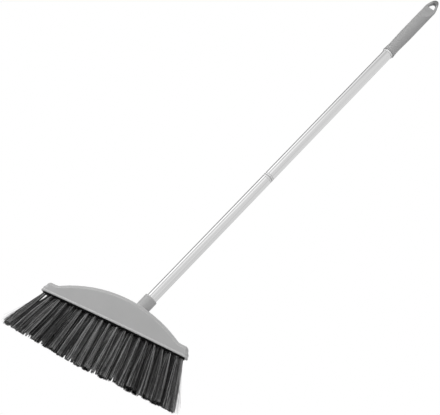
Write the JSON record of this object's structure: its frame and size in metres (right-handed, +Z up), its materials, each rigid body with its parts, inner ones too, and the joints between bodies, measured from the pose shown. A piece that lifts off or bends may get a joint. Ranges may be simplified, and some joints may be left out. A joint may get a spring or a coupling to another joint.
{
  "type": "indoor broom",
  "caption": "Angled indoor broom: arc-topped moulded head with flared dark bristle tufts, bright two-section screw-together handle leaning along the head, and a grip with a hanging eye.",
  "frame": {"origin": "on the floor under the middle of the head, where the bristle tips stand", "axes": "+Z up from the bristle tips, +X along the head towards the side the handle leans to, front towards -Y"},
  "size_m": [0.5583, 0.048, 1.1497],
  "materials": {
    "grey_moulding": "fine satin grain",
    "black_block": "matte",
    "bristle": "soft filament",
    "anchor_wire": "drawn wire",
    "washer": "matte",
    "ferrule_plastic": "satin",
    "bright_tube": "bright drawn",
    "joint_moulding": "satin silver",
    "pale_ring": "satin",
    "grey_grip": "fine satin grain"
  },
  "bodies": {
    "head": {"head_cover": "grey_moulding", "bristle_block": "black_block", "bristle_row_1": "bristle", "bristle_row_2": "bristle", "bristle_row_3": "bristle", "bristle_row_4": "bristle", "tuft_anchors": "anchor_wire"},
    "socket_washer": {"socket_washer": "washer"},
    "lower_handle": {"thread_ferrule": "ferrule_plastic", "lower_tube": "bright_tube", "joint_socket": "joint_moulding"},
    "joint_washer": {"joint_washer": "washer"},
    "upper_handle": {"joint_plug": "joint_moulding", "upper_tube": "bright_tube", "grip_ring": "pale_ring", "grip": "grey_grip"}
  },
  "joints": [
    {"name": "handle_rise", "type": "slide", "parent": "head", "child": "socket_washer", "axis": [0.2882, 0, 0.9576], "range_m": [0, 0.025]},
    {"name": "handle_turn", "type": "hinge", "parent": "socket_washer", "child": "lower_handle", "pos_m": [0.03727, 0, 0.16606], "axis": [0.2882, 0, 0.9576], "range_deg": [0, 1800]},
    {"name": "section_rise", "type": "slide", "parent": "lower_handle", "child": "joint_washer", "axis": [0.2882, 0, 0.9576], "range_m": [0, 0.02]},
    {"name": "section_turn", "type": "hinge", "parent": "joint_washer", "child": "upper_handle", "pos_m": [0.15514, 0, 0.55771], "axis": [0.2882, 0, 0.9576], "range_deg": [0, 1800]}
  ],
  "couplings": [
    {"joint": "handle_rise", "follows": "handle_turn", "m_per_rad": 0.00079577},
    {"joint": "section_rise", "follows": "section_turn", "m_per_rad": 0.00063661}
  ]
}
